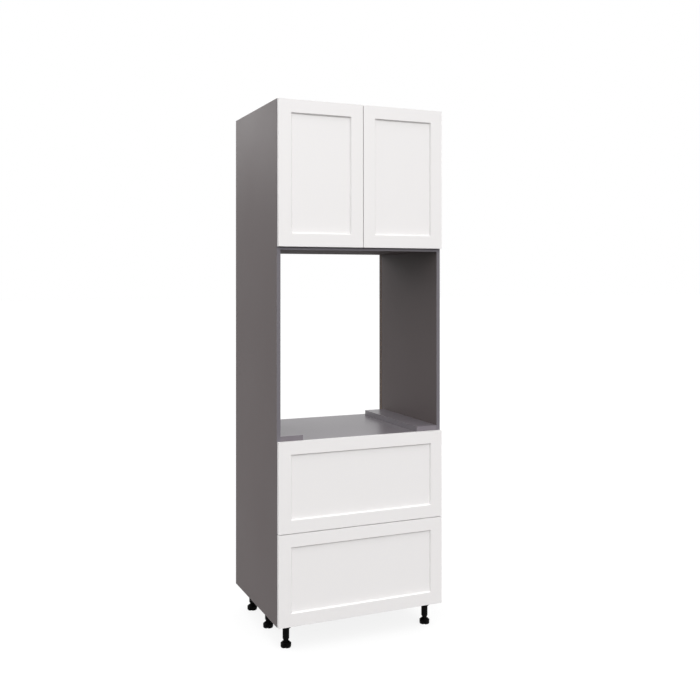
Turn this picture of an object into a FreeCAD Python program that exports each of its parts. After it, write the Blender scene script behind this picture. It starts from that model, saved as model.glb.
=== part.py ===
"""Tall oven housing unit: a grey carcass on six levelling legs, with two
doors above an open oven bay and two deep drawers below it.

Lengths are in millimetres.  +Z is up, the fronts face -Y, and the origin is
on the floor under the middle of the unit.  Most positions below are written
in carcass terms: x from the outer face of the left side, y from the front
edge of the carcass, z from the underside of the carcass.
"""
import FreeCAD, Part
import math
import os
import re

import Sketcher

os.makedirs("parts", exist_ok=True)
doc = FreeCAD.newDocument("oven_housing")

# ---------------------------------------------------------------- dimensions
DIMENSIONS = [
    ("carcass_w", "762", "carcass width over the sides"),
    ("carcass_d", "590", "carcass depth without the fronts"),
    ("carcass_h", "2171.7", "carcass height without the legs"),
    ("board_t", "16", "thickness of the melamine boards"),
    ("band_t", "1", "thickness of the front edge banding"),
    ("leg_clear", "102", "floor to the underside of the carcass"),
    ("front_gap", "1.5", "carcass edge to the back of the fronts"),
    ("front_t", "18", "thickness of doors and drawer fronts"),
    ("front_y", "=-(carcass_d - front_gap - front_t) / 2", "carcass edge from the origin"),
    ("inner_w", "=carcass_w - 2 * board_t", "clear width between the sides"),
    ("side_reveal", "1.5", "side of the carcass to the edge of a front"),
    ("centre_gap", "3.2", "gap between neighbouring fronts"),
    ("bay_floor_z", "756.6", "top of the board under the oven"),
    ("bay_top_z", "1550.4", "underside of the board above the oven"),
    ("door_z", "1563.7", "lower edge of the doors"),
    ("door_top_z", "=carcass_h - 2.5", "upper edge of the doors"),
    ("door_h", "=door_top_z - door_z", "height of a door"),
    ("door_w", "=(carcass_w - 2 * side_reveal - centre_gap) / 2", "width of a door"),
    ("drawer_front_w", "=carcass_w - 2 * side_reveal", "width of a drawer front"),
    ("lower_front_h", "380.4", "height of the lower drawer front"),
    ("upper_front_z", "=lower_front_h + centre_gap", "lower edge of the upper front"),
    ("upper_front_h", "=761 - upper_front_z", "height of the upper drawer front"),
    ("frame_w", "53.5", "flat width of stiles and rails"),
    ("bevel_w", "5", "width of the bevel on the inner edge of the frame"),
    ("recess", "8.5", "front face to the face of the panel"),
    ("bevel_deep", "=recess - 0.5", "depth of the bevel on the inner edge of the frame"),
    ("panel_t", "6", "thickness of the recessed panel"),
    ("groove_far", "50", "outer edge to the bottom of the panel groove"),
    ("panel_slack", "0.2", "play of the panel in its groove"),
    ("stile_w", "=frame_w + bevel_w", "full width of stiles and rails"),
    ("back_t", "6", "thickness of the back panels"),
    ("back_y", "=carcass_d - board_t - back_t", "front face of the back panels"),
    ("back_groove", "6", "depth of the groove for the back"),
    ("rail_h", "80", "height of the hanging rails"),
    ("wall_screw_gap", "406.4", "distance between wall screw holes"),
    ("wall_screw_r", "2.75", "radius of the wall screw holes"),
    ("batten_t", "25.4", "thickness of the oven battens"),
    ("batten_w", "99", "width of the oven battens"),
    ("batten_l", "545", "length of the oven battens"),
    ("shelf_z", "1850", "underside of the adjustable shelf"),
    ("shelf_y", "20", "setback of the adjustable shelf"),
    ("shelf_d", "540", "depth of the adjustable shelf"),
    ("shelf_play", "1", "play at each end of the adjustable shelf"),
    ("pin_r", "2.5", "radius of the shelf pins"),
    ("pin_in", "10", "length of a shelf pin in the side"),
    ("pin_out", "8", "length of a shelf pin under the shelf"),
    ("hole_step", "32", "spacing of the shelf holes"),
    ("cam_r", "7.5", "radius of the cam locks"),
    ("cam_depth", "12.5", "depth of the cam locks"),
    ("cam_in", "34", "board end to the middle of a cam"),
    ("bolt_r", "3.4", "radius of the cam bolts"),
    ("bolt_root_r", "2.5", "radius of the cam bolt thread"),
    ("bolt_root", "11", "length of the cam bolt thread in the side"),
    ("leg_x", "54.5", "outer face to the leg axis"),
    ("leg_y", "42.5", "carcass edge to the front leg axis"),
    ("leg_step", "233", "distance between the leg rows"),
    ("flange_t", "4", "thickness of the leg flange"),
    ("flange_w", "72", "width of the leg flange"),
    ("flange_d", "56", "depth of the leg flange"),
    ("flange_off", "8", "flange middle from the leg axis"),
    ("socket_r", "14", "radius of the leg socket"),
    ("socket_tip_r", "12.8", "radius of the socket at its lower lip"),
    ("socket_l", "69", "length of the leg socket"),
    ("lip_l", "3", "length of the tapered lip"),
    ("stem_r", "11", "radius of the adjusting stem"),
    ("stem_play", "0.05", "play of the stem in the socket"),
    ("stem_top_z", "78", "floor to the top of the stem"),
    ("foot_r", "22.5", "radius of the foot"),
    ("foot_sole_r", "21.5", "radius of the sole"),
    ("foot_neck_r", "16", "radius at the top of the foot"),
    ("foot_low", "4", "height of the lower chamfer of the foot"),
    ("foot_mid", "12", "height of the straight rim of the foot"),
    ("foot_high", "6", "height of the shoulder of the foot"),
    ("notch_r", "5.2", "radius of the grip notches"),
    ("fin_t", "4", "thickness of the socket fins"),
    ("screw_r", "2", "radius of the small screws"),
    ("head_r", "3.8", "radius of the small screw heads"),
    ("head_t", "2", "height of the small screw heads"),
    ("leg_screw_l", "11", "length of the flange screws in the board"),
    ("cup_x", "=side_reveal + 3 + cup_r", "hinge cup axis from the side"),
    ("cup_r", "17.5", "radius of the hinge cup"),
    ("cup_wall", "1", "wall of the hinge cup"),
    ("cup_deep", "12", "depth of the hinge cup"),
    ("cup_floor", "0.8", "floor of the hinge cup"),
    ("cup_inset", "100", "door end to the hinge axis"),
    ("wing_t", "0.8", "thickness of the cup flange"),
    ("pivot_r", "1.2", "radius of the hinge pins"),
    ("pivot_play", "0.05", "play of a link on its pin"),
    ("eye_r", "2.6", "radius of the link eyes"),
    ("link_w", "10", "width of a link"),
    ("arm_x", "26.4", "carcass pivot from the side"),
    ("arm_y", "3.1", "carcass pivot behind the carcass edge"),
    ("door_pivot_x", "9.7", "door pivot from the side"),
    ("door_pivot_y", "-9", "door pivot behind the carcass edge"),
    ("cheek_in", "5.35", "middle of the arm to the inside of a cheek"),
    ("cheek_t", "1.2", "thickness of the arm cheeks"),
    ("arm_l", "64", "length of the hinge arm"),
    ("plate_y", "37", "carcass edge to the plate screws"),
    ("plate_t", "5.5", "thickness of the mounting plate"),
    ("slide_t", "12.7", "thickness of a drawer slide"),
    ("slide_sheet", "1.2", "sheet thickness of the slide members"),
    ("slide_outer_h", "22.5", "half height of the cabinet member"),
    ("slide_mid_h", "18.8", "half height of the middle member"),
    ("slide_inner_h", "15.1", "half height of the drawer member"),
    ("slide_flange", "11", "depth of the cabinet member"),
    ("slide_mid_x", "3.2", "side to the middle member"),
    ("slide_inner_x", "5.5", "side to the flange edge of the drawer member"),
    ("slide_l", "500", "length of a slide"),
    ("slide_mid_l", "470", "length of the middle member"),
    ("slide_front", "2", "carcass edge to the front of the slide"),
    ("slide_up", "70", "drawer bottom edge to the slide middle"),
    ("box_t", "15", "thickness of the drawer box sides"),
    ("box_h", "280", "height of a drawer box"),
    ("box_l", "500", "length of a drawer box"),
    ("lower_box_z", "30", "lower edge of the lower drawer box"),
    ("upper_box_z", "=upper_front_z + 28", "lower edge of the upper box"),
    ("bottom_t", "10", "thickness of a drawer bottom"),
    ("bottom_up", "12", "box edge to the drawer bottom"),
    ("bottom_in", "6", "housing of the drawer bottom"),
    ("front_screw_x", "48", "outer face to the drawer front screws"),
    ("front_screw_l", "11", "length of the front screws in the front"),
]

sheet = doc.addObject("Spreadsheet::Sheet", "dims")
for row, (alias, text, meaning) in enumerate(DIMENSIONS, start=1):
    sheet.set("A%d" % row, meaning)
    sheet.set("B%d" % row, text)
    sheet.setAlias("B%d" % row, alias)
doc.recompute()

ALIASES = {alias for alias, _, _ in DIMENSIONS}
nodes = {}


def formula(text):
    """Point every dimension name in a formula at the spreadsheet."""
    def link(match):
        word = match.group(0)
        return "dims." + word if word in ALIASES else word
    return re.sub(r"[A-Za-z_][A-Za-z_0-9]*", link, str(text))


def bind(item, name, text):
    item.setExpression(name, formula(text))


def place(item, x, y, z):
    """Put an object at a point given in carcass terms."""
    bind(item, "Placement.Base.x", "%s - carcass_w / 2" % x)
    bind(item, "Placement.Base.y", "%s + front_y" % y)
    bind(item, "Placement.Base.z", "%s + leg_clear" % z)
    return item


def add(kind, name):
    item = doc.addObject(kind, name)
    item.Label = name
    return item


def box(name, x, y, z, dx, dy, dz):
    item = add("Part::Box", name)
    bind(item, "Length", dx)
    bind(item, "Width", dy)
    bind(item, "Height", dz)
    return place(item, x, y, z)


TURNS = {
    "x": FreeCAD.Rotation(FreeCAD.Vector(0, 1, 0), 90),
    "y": FreeCAD.Rotation(FreeCAD.Vector(1, 0, 0), -90),
    "z": FreeCAD.Rotation(),
}


def rod(name, axis, radius, length, x, y, z):
    """A cylinder that starts at the given point and runs along +axis."""
    item = add("Part::Cylinder", name)
    bind(item, "Radius", radius)
    bind(item, "Height", length)
    item.Placement = FreeCAD.Placement(FreeCAD.Vector(), TURNS[axis])
    return place(item, x, y, z)


def cone(name, low_radius, high_radius, height, x, y, z):
    item = add("Part::Cone", name)
    bind(item, "Radius1", low_radius)
    bind(item, "Radius2", high_radius)
    bind(item, "Height", height)
    return place(item, x, y, z)


def cut(name, base, tool):
    item = add("Part::Cut", name)
    item.Base = base
    item.Tool = tool
    return item


def fuse(name, shapes):
    item = add("Part::MultiFuse", name)
    item.Shapes = shapes
    return item


def group(name, shapes):
    """Several loose solids that share one node."""
    item = add("Part::Compound", name)
    item.Links = shapes
    return item


def mirror(name, source):
    """The same shape on the other side of the unit."""
    item = add("Part::Mirroring", name)
    item.Source = source
    item.Base = FreeCAD.Vector(0, 0, 0)
    item.Normal = FreeCAD.Vector(1, 0, 0)
    return item


def keep(item):
    """Hand the object in as a node of its own."""
    nodes[item.Label] = item
    return item


def profile(name, plane, corners, length):
    """A body padded from a closed outline; each corner is a pair of formulas."""
    body = add("PartDesign::Body", name)
    sketch = body.newObject("Sketcher::SketchObject", name + "_outline")
    base = [f for f in body.Origin.OriginFeatures if f.Role == plane][0]
    sketch.AttachmentSupport = [(base, "")]
    sketch.MapMode = "FlatFace"
    count = len(corners)
    turn = 2 * math.pi / count
    rough = [
        FreeCAD.Vector(30 * math.cos(turn * i), 30 * math.sin(turn * i), 0)
        for i in range(count)
    ]
    for i in range(count):
        sketch.addGeometry(Part.LineSegment(rough[i], rough[(i + 1) % count]), False)
    for i in range(count):
        sketch.addConstraint(Sketcher.Constraint("Coincident", i, 2, (i + 1) % count, 1))
    for i, (across, along) in enumerate(corners):
        for kind, start, text in (
            ("DistanceX", rough[i].x, across),
            ("DistanceY", rough[i].y, along),
        ):
            index = sketch.addConstraint(
                Sketcher.Constraint(kind, -1, 1, i, 1, start)
            )
            sketch.setExpression("Constraints[%d]" % index, formula(text))
    pad = body.newObject("PartDesign::Pad", name + "_pad")
    pad.Profile = sketch
    bind(pad, "Length", length)
    body.Tip = pad
    return body


# ----------------------------------------------------------- board fittings
RIGHT_FACE = "carcass_w - board_t"
SHELF_TOP_Z = "bay_top_z + board_t"
FLOOR_LOW_Z = "bay_floor_z - board_t"
TOP_LOW_Z = "carcass_h - board_t"
FULL_D = "carcass_d - band_t"

FITTING_ROWS = ("90", "320", "552")
BOARDS = (
    ("bottom_panel", "0", "below"),
    ("oven_floor_shelf", FLOOR_LOW_Z, "below"),
    ("oven_top_shelf", "bay_top_z", "above"),
    ("top_panel", TOP_LOW_Z, "above"),
)


def corner_fitting(tag, row_y, low_z, face):
    """One cam lock and its bolt at the left end of a board."""
    mid_z = "%s + board_t / 2" % low_z
    cam_z = low_z if face == "below" else "%s + board_t - cam_depth" % low_z
    cam_x = "board_t + cam_in"
    bolt = fuse(tag + "_bolt", [
        rod(tag + "_root", "x", "bolt_root_r", "bolt_root", "board_t - bolt_root",
            row_y, mid_z),
        rod(tag + "_shank", "x", "bolt_r", "cam_in", "board_t", row_y, mid_z),
    ])
    cam = cut(tag + "_cam",
              rod(tag + "_barrel", "z", "cam_r", "cam_depth", cam_x, row_y, cam_z), bolt)
    return cam, bolt


cams, bolts = [], []
for board, low_z, face in BOARDS:
    for index, row_y in enumerate(FITTING_ROWS):
        tag = "%s_%d" % (board, index)
        cam, bolt = corner_fitting(tag, row_y, low_z, face)
        cams.append(cam)
        bolts.append(bolt)


def both_sides(name, shapes):
    left = group(name + "_left", shapes)
    return group(name, [left, mirror(name + "_right", left)])


cam_locks = keep(both_sides("cam_locks", cams))
cam_bolts = keep(both_sides("cam_bolts", bolts))
fittings = group("fittings", [cam_locks, cam_bolts])

# ---------------------------------------------------------------- the shelf
PIN_ROWS = ("60", "500")
PIN_REACH = "pin_in + pin_out"
PIN_Z = "shelf_z - pin_r"
pins, spare_holes = [], []
for row_y in PIN_ROWS:
    pins.append(rod("pin_" + row_y, "x", "pin_r", PIN_REACH, "board_t - pin_in",
                    row_y, PIN_Z))
    for step in (-2, -1, 1, 2):
        hole_z = "%s + %d * hole_step" % (PIN_Z, step)
        spare_holes.append(rod("hole_%s_%d" % (row_y, step + 2), "x", "pin_r", "pin_in",
                               "board_t - pin_in", row_y, hole_z))
shelf_pins = keep(both_sides("shelf_pins", pins))
spare = both_sides("spare_holes", spare_holes)
keep(box("adjustable_shelf", "board_t + shelf_play", "shelf_y", "shelf_z",
         "inner_w - 2 * shelf_play", "shelf_d", "board_t"))

# --------------------------------------------------------------- the hinges
HINGE_HEIGHTS = ("door_z + cup_inset", "door_top_z - cup_inset")
PLATE_SCREW_UP = "16"
ARM_CHEEK = [
    ("-3", "-1.8"), ("0", "-3.2"), ("2.6", "-1.8"), ("6.3", "5.9"),
    ("6.3", "arm_l - arm_y"), ("-2.9", "arm_l - arm_y"), ("-2.9", "3"),
]
LINK_LINE = ((0, 0), (3.6, -2.7), (9.3, -2.75), (12.8, 1.3), (16.7, 12.1))
LINK_HALF_T = 0.6
WEB_FRONT = "9"
CUP_EAR = "7"


def strip_outline(line, half):
    """The outline of a flat strip of even thickness along a bent line."""
    sides = [[], []]
    for i, (x, y) in enumerate(line):
        steps = []
        for a, b in ((i - 1, i), (i, i + 1)):
            if a >= 0 and b < len(line):
                dx, dy = line[b][0] - line[a][0], line[b][1] - line[a][1]
                size = math.hypot(dx, dy)
                steps.append((-dy / size, dx / size))
        nx = sum(s[0] for s in steps) / len(steps)
        ny = sum(s[1] for s in steps) / len(steps)
        scale = half / (nx * nx + ny * ny)
        sides[0].append((x + nx * scale, y + ny * scale))
        sides[1].append((x - nx * scale, y - ny * scale))
    return sides[0] + sides[1][::-1]


def hinge(tag, z):
    """The five pieces of one hinge on the left side, at one height."""
    low_z = "%s - link_w / 2" % z
    corners = [("%.4f" % x, "%.4f" % y) for x, y in strip_outline(LINK_LINE, LINK_HALF_T)]
    strip = place(profile(tag + "_strip", "XY_Plane", corners, "link_w"),
                  "door_pivot_x", "door_pivot_y", low_z)
    eyes, bores = [], []
    for end, x, y in (("near", "door_pivot_x", "door_pivot_y"), ("far", "arm_x", "arm_y")):
        eyes.append(rod("%s_%s_eye" % (tag, end), "z", "eye_r", "link_w", x, y, low_z))
        bores.append(rod("%s_%s_bore" % (tag, end), "z", "pivot_r + pivot_play",
                         "link_w", x, y, low_z))
    link = cut(tag + "_link", fuse(tag + "_strap", [strip] + eyes),
               group(tag + "_bores", bores))

    pin_l = "2 * (cheek_in + cheek_t)"
    pin_z = "%s - cheek_in - cheek_t" % z
    arm_pin = rod(tag + "_arm_pin", "z", "pivot_r", pin_l, "arm_x", "arm_y", pin_z)
    cheeks = [
        place(profile(tag + "_cheek_low", "XY_Plane", ARM_CHEEK, "cheek_t"),
              "arm_x", "arm_y", "%s - cheek_in - cheek_t" % z),
        place(profile(tag + "_cheek_high", "XY_Plane", ARM_CHEEK, "cheek_t"),
              "arm_x", "arm_y", "%s + cheek_in" % z),
    ]
    web = box(tag + "_web", "arm_x + 5.1", WEB_FRONT, pin_z,
              "cheek_t", "arm_l - %s" % WEB_FRONT, pin_l)
    set_screw = fuse(tag + "_set_screw", [
        rod(tag + "_set_shank", "x", "screw_r", "10", "arm_x - 3.7", "52", z),
        rod(tag + "_set_head", "x", "head_r", "head_t", "arm_x + 6.3", "52", z),
    ])
    arm = cut(tag + "_arm", fuse(tag + "_channel", cheeks + [web]),
              group(tag + "_arm_holes", [arm_pin, set_screw]))

    foot = box(tag + "_foot", "board_t", "plate_y - 14", "%s - 23" % z, "plate_t", "28", "46")
    saddle = box(tag + "_saddle", "board_t", "22", "%s - 5.2" % z, "15", "40", "10.4")
    screws = []
    for end, sign in (("low", "-"), ("high", "+")):
        screw_z = "%s %s %s" % (z, sign, PLATE_SCREW_UP)
        screws.append(fuse("%s_%s_screw" % (tag, end), [
            rod("%s_%s_shank" % (tag, end), "x", "pin_r", "11 + plate_t",
                "board_t - 11", "plate_y", screw_z),
            rod("%s_%s_head" % (tag, end), "x", "head_r", "head_t",
                "board_t + plate_t", "plate_y", screw_z),
        ]))
    screws.append(set_screw)
    plate = cut(tag + "_plate", fuse(tag + "_plate_body", [foot, saddle]),
                group(tag + "_plate_screws", screws))

    back = "-front_gap"
    shell = rod(tag + "_shell", "y", "cup_r", "cup_deep", "cup_x",
                "%s - cup_deep" % back, z)
    wings = box(tag + "_wings", "cup_x - 2", back, "%s - 28" % z, "17", "wing_t", "56")
    cavity = rod(tag + "_cavity", "y", "cup_r - cup_wall", "cup_deep + 2", "cup_x",
                 "%s - cup_deep + cup_floor" % back, z)
    ears = []
    for end, start in (("low", "%s - 11" % z), ("high", "%s + cheek_in" % z)):
        ears.append(box("%s_%s_ear" % (tag, end), "door_pivot_x - 2.6",
                        "%s - cup_deep" % back, start, "5.2", CUP_EAR, "11 - cheek_in"))
    cup_pin = rod(tag + "_cup_pin", "z", "pivot_r", "20", "door_pivot_x",
                  "door_pivot_y", "%s - 10" % z)
    hollow = cut(tag + "_hollow", fuse(tag + "_cup_body", [shell, wings]), cavity)
    bore = rod(tag + "_bore", "y", "cup_r", "cup_deep", "cup_x", "%s - cup_deep" % back, z)
    inside = fuse(tag + "_inside", ears)
    within = add("Part::Common", tag + "_within")
    within.Base = inside
    within.Tool = bore
    cup = cut(tag + "_cup", fuse(tag + "_eared", [hollow, within]), cup_pin)
    return {"link": link, "arm": arm, "arm_pin": arm_pin, "plate": plate,
            "screws": screws, "cup": cup, "cup_pin": cup_pin, "bore": bore}


pairs = [hinge("hinge_%d" % i, z) for i, z in enumerate(HINGE_HEIGHTS)]


def collect(key):
    return [pair[key] for pair in pairs]


plate_screws = [screw for pair in pairs for screw in pair["screws"]]
hinge_screws = keep(both_sides("hinge_screws", plate_screws))
keep(both_sides("hinge_mounting_plates", collect("plate")))
keep(both_sides("hinge_arms", collect("arm")))
keep(both_sides("hinge_arm_pins", collect("arm_pin")))
left_links = keep(group("left_hinge_links", collect("link")))
keep(mirror("right_hinge_links", left_links))
left_cups = keep(group("left_door_hinge_cups", collect("cup")))
keep(mirror("right_door_hinge_cups", left_cups))
left_cup_pins = keep(group("left_door_hinge_pins", collect("cup_pin")))
keep(mirror("right_door_hinge_pins", left_cup_pins))
left_bores = group("left_cup_bores", collect("bore"))

# --------------------------------------------------------------- the carcass
BAND_LOW = "band_t"


def side_panel(name, x, groove_x):
    slab = box(name + "_slab", x, BAND_LOW, "0", "board_t", FULL_D, "carcass_h")
    groove = box(name + "_groove", groove_x, "back_y", "-1", "back_groove", "back_t",
                 "carcass_h + 2")
    drilled = group(name + "_drilling",
                    [groove, cam_bolts, shelf_pins, spare, hinge_screws])
    return keep(cut(name, slab, drilled))


side_panel("left_side_panel", "0", "board_t - back_groove")
side_panel("right_side_panel", RIGHT_FACE, RIGHT_FACE)

SOCKET_SCREWS = (("-18", "-20"), ("26", "-20"), ("-18", "20"), ("26", "20"))
LEG_COLUMNS = (("left", "leg_x"), ("right", "carcass_w - leg_x"))
LEG_ROWS = (("front", "leg_y"), ("middle", "leg_y + leg_step"),
            ("back", "leg_y + 2 * leg_step"))
CAMERA_SIDE = math.radians(242)
NOTCHES = 4
FIN_SHAPE = [("13", "-flange_t"), ("flange_w / 2 + flange_off", "-flange_t"),
             ("27", "-22"), ("13", "-30")]
SMALL_FIN = [("13", "-flange_t"), ("26", "-flange_t"), ("13", "-18")]

sockets, leg_screws = [], []
for row_name, y in LEG_ROWS:
    for side_name, x in LEG_COLUMNS:
        tag = "%s_%s" % (row_name, side_name)
        screws = []
        for index, (dx, dy) in enumerate(SOCKET_SCREWS):
            at_x, at_y = "%s + %s" % (x, dx), "%s + %s" % (y, dy)
            screws.append(fuse("%s_screw_%d" % (tag, index), [
                rod("%s_shank_%d" % (tag, index), "z", "screw_r",
                    "leg_screw_l + flange_t", at_x, at_y, "-flange_t"),
                rod("%s_head_%d" % (tag, index), "z", "head_r", "head_t", at_x, at_y,
                    "-flange_t - head_t"),
            ]))
        leg_screws += screws
        flange = box(tag + "_flange", "%s + flange_off - flange_w / 2" % x,
                     "%s - flange_d / 2" % y, "-flange_t", "flange_w", "flange_d",
                     "flange_t")
        tube = rod(tag + "_tube", "z", "socket_r", "socket_l - lip_l", x, y,
                   "-socket_l + lip_l")
        lip = cone(tag + "_lip", "socket_tip_r", "socket_r", "lip_l", x, y, "-socket_l")
        fins = [place(profile(tag + "_fin", "XZ_Plane", FIN_SHAPE, "fin_t"),
                      x, "%s + fin_t / 2" % y, "0")]
        for end, turn, sign in (("fore", -90, "+"), ("aft", 90, "-")):
            small = profile("%s_%s_fin" % (tag, end), "XZ_Plane", SMALL_FIN, "fin_t")
            small.Placement = FreeCAD.Placement(
                FreeCAD.Vector(), FreeCAD.Rotation(FreeCAD.Vector(0, 0, 1), turn))
            fins.append(place(small, "%s %s fin_t / 2" % (x, sign), y, "0"))
        bore = rod(tag + "_bore", "z", "stem_r + stem_play", "socket_l - 8", x, y,
                   "-socket_l")
        body = fuse(tag + "_socket_body", [flange, tube, lip] + fins)
        sockets.append(cut(tag + "_socket", body,
                           group(tag + "_voids", [bore] + screws)))

        floor = "-leg_clear"
        parts = [
            cone(tag + "_sole", "foot_sole_r", "foot_r", "foot_low", x, y, floor),
            rod(tag + "_rim", "z", "foot_r", "foot_mid", x, y, floor + " + foot_low"),
            cone(tag + "_shoulder", "foot_r", "foot_neck_r", "foot_high", x, y,
                 floor + " + foot_low + foot_mid"),
            rod(tag + "_stem", "z", "stem_r", "stem_top_z", x, y, floor),
        ]
        notches = []
        for index in range(NOTCHES):
            angle = CAMERA_SIDE + index * 2 * math.pi / NOTCHES
            notches.append(rod("%s_notch_%d" % (tag, index), "z", "notch_r",
                               "foot_low + foot_mid",
                               "%s + foot_r * %.5f" % (x, math.cos(angle)),
                               "%s + foot_r * %.5f" % (y, math.sin(angle)), floor))
        keep(cut(tag + "_foot", fuse(tag + "_foot_body", parts),
                 group(tag + "_grip", notches)))
keep(group("leg_sockets", sockets))
leg_screw_group = keep(group("leg_screws", leg_screws))

for board, low_z, _ in BOARDS:
    slab = box(board + "_slab", "board_t", BAND_LOW, low_z, "inner_w", FULL_D, "board_t")
    tools = [fittings]
    if board == "bottom_panel":
        tools.append(leg_screw_group)
    keep(cut(board, slab, group(board + "_drilling", tools)))

bands = [
    box("left_side_band", "0", "0", "0", "board_t", "band_t", "carcass_h"),
    box("right_side_band", RIGHT_FACE, "0", "0", "board_t", "band_t", "carcass_h"),
]
for board, low_z, _ in BOARDS:
    bands.append(box(board + "_band", "board_t", "0", low_z, "inner_w", "band_t",
                     "board_t"))
keep(group("front_edge_bands", bands))

# The backs stand in grooves in the sides, and a rail behind each one takes the
# screws that hold the unit to the wall.
rails = []
for name, low_z, high_z in (
    ("lower", "board_t", FLOOR_LOW_Z),
    ("upper", SHELF_TOP_Z, TOP_LOW_Z),
):
    panel = box(name + "_back_slab", "board_t - back_groove", "back_y", low_z,
                "inner_w + 2 * back_groove", "back_t", "%s - (%s)" % (high_z, low_z))
    rail = box(name + "_rail_slab", "board_t", "back_y + back_t", "%s - rail_h" % high_z,
               "inner_w", "board_t", "rail_h")
    holes = []
    for end, sign in (("left", "-"), ("right", "+")):
        holes.append(rod("%s_%s_wall_hole" % (name, end), "y", "wall_screw_r",
                         "board_t + back_t + 2", "carcass_w / 2 %s wall_screw_gap / 2" % sign,
                         "back_y - 1", "%s - rail_h / 2" % high_z))
    wall_holes = group(name + "_wall_holes", holes)
    keep(cut(name + "_back_panel", panel, wall_holes))
    rails.append(cut(name + "_rail", rail, wall_holes))
keep(group("hanging_rails", rails))

keep(group("oven_battens", [
    box("left_batten", "board_t", "band_t", "bay_floor_z", "batten_w", "batten_l",
        "batten_t"),
    box("right_batten", RIGHT_FACE + " - batten_w", "band_t", "bay_floor_z", "batten_w",
        "batten_l", "batten_t"),
]))

# ---------------------------------------------------------------- the fronts
FACE_Y = "-front_gap - front_t"
PANEL_BACK = "recess + panel_t + panel_slack"
SECTION = (
    ("0", "0"), ("frame_w", "0"), ("stile_w", "bevel_deep"), ("stile_w", "recess"),
    ("groove_far", "recess"), ("groove_far", PANEL_BACK), ("stile_w", PANEL_BACK),
    ("stile_w", "front_t"), ("0", "front_t"),
)


def front(name, x, z, width, height, bored=None, cutters=None):
    """A five-piece front: two stiles, two rails coped over them, and a panel."""
    stiles = []
    for end, edge, sign in (("left", x, "1"), ("right", "%s + %s" % (x, width), "-1")):
        corners = [("%s * (%s)" % (sign, across), deep) for across, deep in SECTION]
        stiles.append(place(profile("%s_%s_stile" % (name, end), "XY_Plane", corners, height),
                            edge, FACE_Y, z))
    whole_stiles = group(name + "_whole_stiles", stiles)
    rails = []
    for end, edge, sign in (("lower", z, "1"), ("upper", "%s + %s" % (z, height), "-1")):
        corners = [(deep, "%s * (%s)" % (sign, across)) for across, deep in SECTION]
        length = "%s - 2 * frame_w" % width
        rail = place(profile("%s_%s_rail" % (name, end), "YZ_Plane", corners, length),
                     "%s + frame_w" % x, FACE_Y, edge)
        rails.append(cut("%s_%s_coped" % (name, end), rail, whole_stiles))
    keep(group(name + "_rails", rails))
    if cutters:
        node = cut(name + "_stiles", whole_stiles, cutters)
    else:
        node = group(name + "_stiles", stiles)
    keep(node)
    edge = "groove_far + 1"
    keep(box(name + "_panel", "%s + %s" % (x, edge), "%s + recess" % FACE_Y,
             "%s + %s" % (z, edge), "%s - 2 * (%s)" % (width, edge), "panel_t",
             "%s - 2 * (%s)" % (height, edge)))


front("left_door", "side_reveal", "door_z", "door_w", "door_h", cutters=left_bores)
front("right_door", "carcass_w - side_reveal - door_w", "door_z", "door_w", "door_h",
      cutters=mirror("right_cup_bores", left_bores))

# --------------------------------------------------------------- the drawers
BOX_X = "board_t + slide_t"
BOX_W = "inner_w - 2 * slide_t"
BOX_Y = "-front_gap"
FRONT_SCREW_HEIGHTS = ("60", "220")


def channel(name, x, half_h, web_x, flange_far, length, y, z):
    """A C-shaped slide member: a web with a flange along each edge."""
    web_near, web_far = web_x
    far = flange_far
    if web_near == far[0]:
        shape = [(far[0], "-%s" % half_h), (far[1], "-%s" % half_h),
                 (far[1], "slide_sheet - %s" % half_h),
                 (web_far, "slide_sheet - %s" % half_h),
                 (web_far, "%s - slide_sheet" % half_h),
                 (far[1], "%s - slide_sheet" % half_h),
                 (far[1], half_h), (far[0], half_h)]
    else:
        shape = [(far[1], "-%s" % half_h), (far[0], "-%s" % half_h),
                 (far[0], "slide_sheet - %s" % half_h),
                 (web_near, "slide_sheet - %s" % half_h),
                 (web_near, "%s - slide_sheet" % half_h),
                 (far[0], "%s - slide_sheet" % half_h),
                 (far[0], half_h), (far[1], half_h)]
    member = profile(name, "XZ_Plane", shape, length)
    return place(member, x, "%s + %s" % (y, length), z)


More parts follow.
